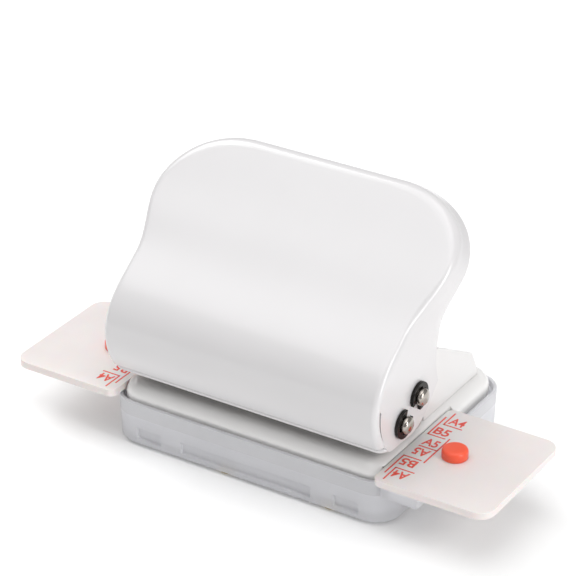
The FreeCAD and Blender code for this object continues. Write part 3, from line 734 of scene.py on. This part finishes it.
def paper_guide(side, sign, materials):
    x0, x1, y0, y1 = WING
    outline = rounded_rectangle(x0, x1, y0, y1, [3.5, 3.5, 1.6, 1.6])
    wing = add_mesh("guide_plate_" + side, *flipped(prism(outline, WING_LOW, WING_TOP), sign),
                    materials["guide_plastic"], 30)
    prongs = []
    for a, b in PRONGS_Y:
        prong = prism(rounded_rectangle(PRONG_IN_X, x0 + 1.0, a, b, [0.1, 0.1, 0.8, 0.8], 4),
                      WING_LOW, WING_LOW + PRONG_T)
        prongs.append(flipped(prong, sign))
    carve(wing, prongs, "UNION")
    hole = prism(circle(PEG_X, 0, PEG_HOLE_R), WING_LOW - 1, WING_TOP + 1)
    carve(wing, [flipped(hole, sign)], "DIFFERENCE")
    soften(wing, 0.22, 3, 40)
    stands_for(wing, side + "_guide", "paper_guide_" + side)
    index_peg(side, sign, materials)
    marks(side, sign, materials)


def index_peg(side, sign, materials):
    """Peg through the guide's hole; its head's top edge is rounded."""
    top = PEG_TOP
    profile = [(WING_LOW, 0), (WING_LOW, 1.6), (WING_LOW + 0.15, PEG_SHANK_R), (WING_TOP, PEG_SHANK_R),
               (WING_TOP, 2.7), (WING_TOP + 0.1, 2.8), (top - 0.75, 2.8), (top - 0.5, 2.77),
               (top - 0.25, 2.66), (top - 0.1, 2.48), (top - 0.03, 2.2), (top, 1.6), (top, 0)]
    peg = add_mesh("index_peg_" + side + "_head", *lathe(profile, (sign * PEG_X, 0, 0), "z"),
                   materials["peg_plastic"], 50)
    stands_for(peg, side + "_guide", "index_peg_" + side)


def line_solid(x0, y0, x1, y1, sign):
    half = MARK_WIDTH / 2
    x0, x1 = min(x0, x1) - half, max(x0, x1) + half
    y0, y1 = min(y0, y1) - half, max(y0, y1) + half
    block = prism([(x0, y0), (x1, y0), (x1, y1), (x0, y1)], WING_TOP, WING_TOP + MARK_THICKNESS)
    return flipped(block, sign)


def word_solid(word, x, y, half_turn, sign):
    """Generic paper-size letters lying on the guide, as points and faces."""
    curve = bpy.data.curves.new("word", "FONT")
    curve.body = word
    curve.size = 1.0
    curve.offset = LETTER_BOLD
    curve.extrude = 0.5
    curve.resolution_u = 4
    obj = bpy.data.objects.new("word", curve)
    bpy.context.scene.collection.objects.link(obj)
    bpy.context.view_layer.update()
    mesh = bpy.data.meshes.new_from_object(obj.evaluated_get(bpy.context.evaluated_depsgraph_get()))
    raw = np.array([v.co for v in mesh.vertices])
    faces = [tuple(p.vertices) for p in mesh.polygons]
    bpy.data.objects.remove(obj)
    flat = raw[:, :2] - raw[:, :2].min(axis=0)
    flat[:, 0] *= LETTER_WIDE / flat[:, 0].max()
    flat[:, 1] *= LETTER_TALL / flat[:, 1].max()
    left = x if sign > 0 else -x - LETTER_WIDE
    points = []
    for (u, v), w in zip(flat, raw[:, 2]):
        px, py = left + u, y + v
        if half_turn:
            px, py = 2 * left + LETTER_WIDE - px, -py
        points.append((px, py, WING_TOP + MARK_THICKNESS * (0.5 + w)))
    return points, faces


def marks(side, sign, materials):
    solids = []
    for x0, y0, x1, y1 in LINES:
        solids.append(line_solid(x0, y0, x1, y1, sign))
        if (y0, y1) != (0, 0):
            solids.append(line_solid(x0, -y0, x1, -y1, sign))
    for word, x, y in WORDS:
        for half_turn in (False, True):
            solids.append(word_solid(word, x, y, half_turn, sign))
    points, faces = join(*solids)
    if side == "left":
        points = [(x - LEFT_PRINT_SHIFT, y, z) for x, y, z in points]
    obj = add_mesh("size_marks_" + side, points, faces, materials["print_red"], 30)
    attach(obj, side + "_guide")


# ---- shafts and clips ----------------------------------------------------------------------------

PIVOT = (-6.7, 22.2)
PRESS = (-0.5, 25.8)
GROOVE_X = 33.9
GROOVE_WIDE = 0.8
GROOVE_R = 1.45
SHAFT_R = 2.0
CLIP_OUT_R = 3.2
CLIP_IN_R = 2.2
CLIP_LUG_R = 1.52
CLIP_LUGS = (48, 180, -48)


def shaft(name, node, body, place, materials):
    y, z = place
    out = GROOVE_X + GROOVE_WIDE
    tip = [(GROOVE_X - 0.3, SHAFT_R), (GROOVE_X, SHAFT_R), (GROOVE_X, GROOVE_R), (out, GROOVE_R), (out, 1.82),
           (out + 0.08, 1.9), (out + 0.5, 1.9), (out + 0.76, 1.84), (out + 1.0, 1.66),
           (out + 1.2, 1.34), (out + 1.32, 0.95), (out + 1.39, 0.5), (out + 1.4, 0.0)]
    profile = [(-a, r) for a, r in reversed(tip)] + tip
    obj = add_mesh(name, *lathe(profile, (0, y, z), "x"), materials["polished_steel"], 32)
    stands_for(obj, body, node)


def clip_outline(place, opening):
    """Open ring with three lugs that grip the groove, mouth centred at opening degrees."""
    y, z = place
    outline = []
    for a in np.linspace(opening + 33, opening + 327, 64):
        outline.append((a, CLIP_OUT_R))
    outline.append((opening - 31.5, 3.05))
    outline.append((opening - 33, 2.3))
    for a in np.linspace(opening + 326, opening + 34, 90):
        near = min(abs((a - opening - lug + 180) % 360 - 180) for lug in CLIP_LUGS)
        slope = min(max((near - 13) / 4, 0), 1)
        r = CLIP_LUG_R + slope * (CLIP_IN_R - CLIP_LUG_R)
        outline.append((a, r))
    outline.append((opening + 33, 2.3))
    outline.append((opening + 31.5, 3.05))
    return [(y + r * math.cos(math.radians(a)), z + r * math.sin(math.radians(a))) for a, r in outline]


def clip(name, node, body, place, opening, sign, materials):
    x0 = GROOVE_X + 0.05
    solid = prism(clip_outline(place, opening), x0, x0 + GROOVE_WIDE - 0.1, "x")
    obj = add_mesh(name, *flipped(solid, sign), materials["dark_steel"], 30)
    soften(obj, 0.14, 3, 40)
    stands_for(obj, body, node)


# ---- return springs ------------------------------------------------------------------------------

SPRING_X = 9.5
SPRING_R = 2.8
SPRING_WIRE_R = 0.35
SPRING_ARM_R = SPRING_WIRE_R * 0.92
SPRING_WIDE = 2.88
SPRING_TURNS = 4.5
SPRING_LAP = math.radians(36)
COIL_STEPS = int(28 * SPRING_TURNS)
# Lower leg in the side view (y, z), and the upper leg's end under the press shaft.
LOWER_LEG = [(-4.3, 19.1), (-4.9, 19.18), (-5.6, 19.28)]
UPPER_LEG_END = (0.1, 23.15)


def wire(path, r, count=12):
    """Round wire with rounded ends along a path that never runs along the x axis."""
    path = np.array(path)
    steps = np.gradient(path, axis=0)
    rows = []
    for k, (middle, step) in enumerate(zip(path, steps)):
        step /= np.linalg.norm(step)
        first = np.cross(step, (1, 0, 0))
        first /= np.linalg.norm(first)
        second = np.cross(step, first)
        ends = [(-0.94, 0.3), (-0.6, 0.8)] if k == 0 else [(0, 1)]
        if k == len(path) - 1:
            ends = [(0.6, 0.8), (0.94, 0.3)]
        for ahead, wide in ends:
            ring = [first * math.cos(a) + second * math.sin(a)
                    for a in np.linspace(0, TAU, count, endpoint=False)]
            rows.append([middle + r * (step * ahead + wide * spoke) for spoke in ring])
    points, faces = strip(rows, True)
    last = len(points) - count
    faces += [tuple(reversed(range(count))), tuple(range(last, last + count))]
    return points, faces


def coil_point(x0, turn):
    """Point after so many turns from the foot of a coil that starts at x0."""
    y, z = PIVOT
    a = -math.pi / 2 - TAU * turn
    return (x0 + SPRING_WIDE * turn / SPRING_TURNS, y + SPRING_R * math.cos(a), z + SPRING_R * math.sin(a))


def return_spring(side, sign, materials):
    """Coil and lower leg on the base; the upper leg rides the lever and laps inside the coil's end.

    Known fault: the upper leg stands half the coil's width beside the gap between two punch heads,
    so it cuts through one of them.
    """
    x0 = sign * SPRING_X - SPRING_WIDE / 2
    x1 = x0 + SPRING_WIDE
    coil_path = [(x0, y, z) for y, z in LOWER_LEG]
    coil_path += [coil_point(x0, turn) for turn in np.linspace(0, SPRING_TURNS, COIL_STEPS + 1)]
    lap = np.linspace(SPRING_LAP / TAU, 0, 8)[:-1]
    arm_path = [coil_point(x0, SPRING_TURNS - back) for back in lap]
    y, z = PIVOT
    ends = np.array([(x1, y, z + SPRING_R), (x1, *UPPER_LEG_END)])
    arm_path += [tuple(ends[0] + (ends[1] - ends[0]) * t) for t in np.linspace(0, 1, 6)]
    parts = [("spring_coil_", "base", coil_path, SPRING_WIRE_R),
             ("spring_arm_", "lever", arm_path, SPRING_ARM_R)]
    for name, body, path, r in parts:
        obj = add_mesh(name + side, *wire(path, r), materials["spring_steel"], 60)
        merge_outwards(obj, NO_SIDE)
        stands_for(obj, body, "return_spring_" + side)


# ---- both shafts with what sits on them ----------------------------------------------------------

def shafts_and_clips(materials):
    shaft("pivot_rod", "pivot_shaft", "base", PIVOT, materials)
    shaft("press_rod", "press_shaft", "lever", PRESS, materials)
    for side, sign in (("left", -1), ("right", 1)):
        clip("pivot_ring_" + side, "pivot_clip_" + side, "base", PIVOT, 40, sign, materials)
        clip("press_ring_" + side, "press_clip_" + side, "lever", PRESS, 235, sign, materials)
        return_spring(side, sign, materials)


# ---- camera, lights and floor --------------------------------------------------------------------

FLOOR_HALF = 3.0
CAMERA_LENS = 164.86
CAMERA_PLACE = (0.2609022, -0.4195935, 0.3034619)
CAMERA_BACK = (0.4700471, -0.7435691, 0.4755635)
CAMERA_RIGHT = (0.8452710, 0.5343379, 0)
LIGHT_TARGET = (0, 0, 0.03)


def make_stage():
    mesh = bpy.data.meshes.new("floor")
    size = FLOOR_HALF
    mesh.from_pydata([(-size, -size, 0), (size, -size, 0), (size, size, 0), (-size, size, 0)], [],
                     [(0, 1, 2, 3)])
    paint = Paint("floor_white", (0.93, 0.93, 0.93), 0.9, Emission_Color=(1, 1, 1, 1),
                  Emission_Strength=0.08)
    paint.mottle(paint.noise(3, 2), 0.995)
    mesh.materials.append(paint.material)
    floor = bpy.data.objects.new("floor", mesh)
    bpy.context.scene.collection.objects.link(floor)


def area_light(name, place, target, size, power):
    light = bpy.data.lights.new(name, "AREA")
    light.shape = "RECTANGLE"
    light.size, light.size_y = size
    light.energy = power
    obj = bpy.data.objects.new(name, light)
    obj.location = place
    obj.rotation_euler = (Vector(target) - Vector(place)).to_track_quat("-Z", "Y").to_euler()
    bpy.context.scene.collection.objects.link(obj)


def make_lights():
    world = bpy.data.worlds.new("studio")
    world.use_nodes = True
    background = world.node_tree.nodes["Background"]
    background.inputs["Color"].default_value = (1, 1, 1, 1)
    background.inputs["Strength"].default_value = 0.34
    bpy.context.scene.world = world
    area_light("key", (-0.1, -0.08, 0.97), LIGHT_TARGET, (1.2, 1.2), 7.4)
    area_light("strip", (0.66, -0.1, 0.27), LIGHT_TARGET, (0.08, 0.6), 2.3)
    area_light("left", (-0.5, 0.15, 0.55), (-0.06, 0, 0.01), (0.4, 0.4), 1.7)


def make_camera():
    camera = bpy.data.cameras.new("camera")
    camera.lens = CAMERA_LENS
    camera.sensor_width = 36
    camera.clip_start = 0.01
    obj = bpy.data.objects.new("camera", camera)
    back = Vector(CAMERA_BACK)
    right = Vector(CAMERA_RIGHT)
    up = back.cross(right)
    turn = Matrix((right, up, back)).transposed()
    obj.matrix_world = Matrix.Translation(CAMERA_PLACE) @ turn.to_4x4()
    bpy.context.scene.collection.objects.link(obj)
    bpy.context.scene.camera = obj


def paint_nodes(materials):
    looks = {"base_cover": "cover_paint", "pivot_shaft": "polished_steel", "press_shaft": "polished_steel",
             "return_spring_left": "spring_steel", "return_spring_right": "spring_steel"}
    slots = {s["node"]: s["material_slot"] for s in frame["record"]["subparts"]}
    for name, node in frame["nodes"].items():
        look = looks.get(name, slots[name])
        if name.startswith("punch_pin"):
            look = "punch_steel"
        node.data.materials.clear()
        node.data.materials.append(materials[look])


def main():
    bpy.context.scene.view_settings.view_transform = "Standard"
    materials = make_materials()
    paint_nodes(materials)
    make_stage()
    make_lights()
    make_camera()
    lever_shell(materials)
    shafts_and_clips(materials)
    chip_tray(materials)
    paper_guide("right", 1, materials)
    paper_guide("left", -1, materials)


main()
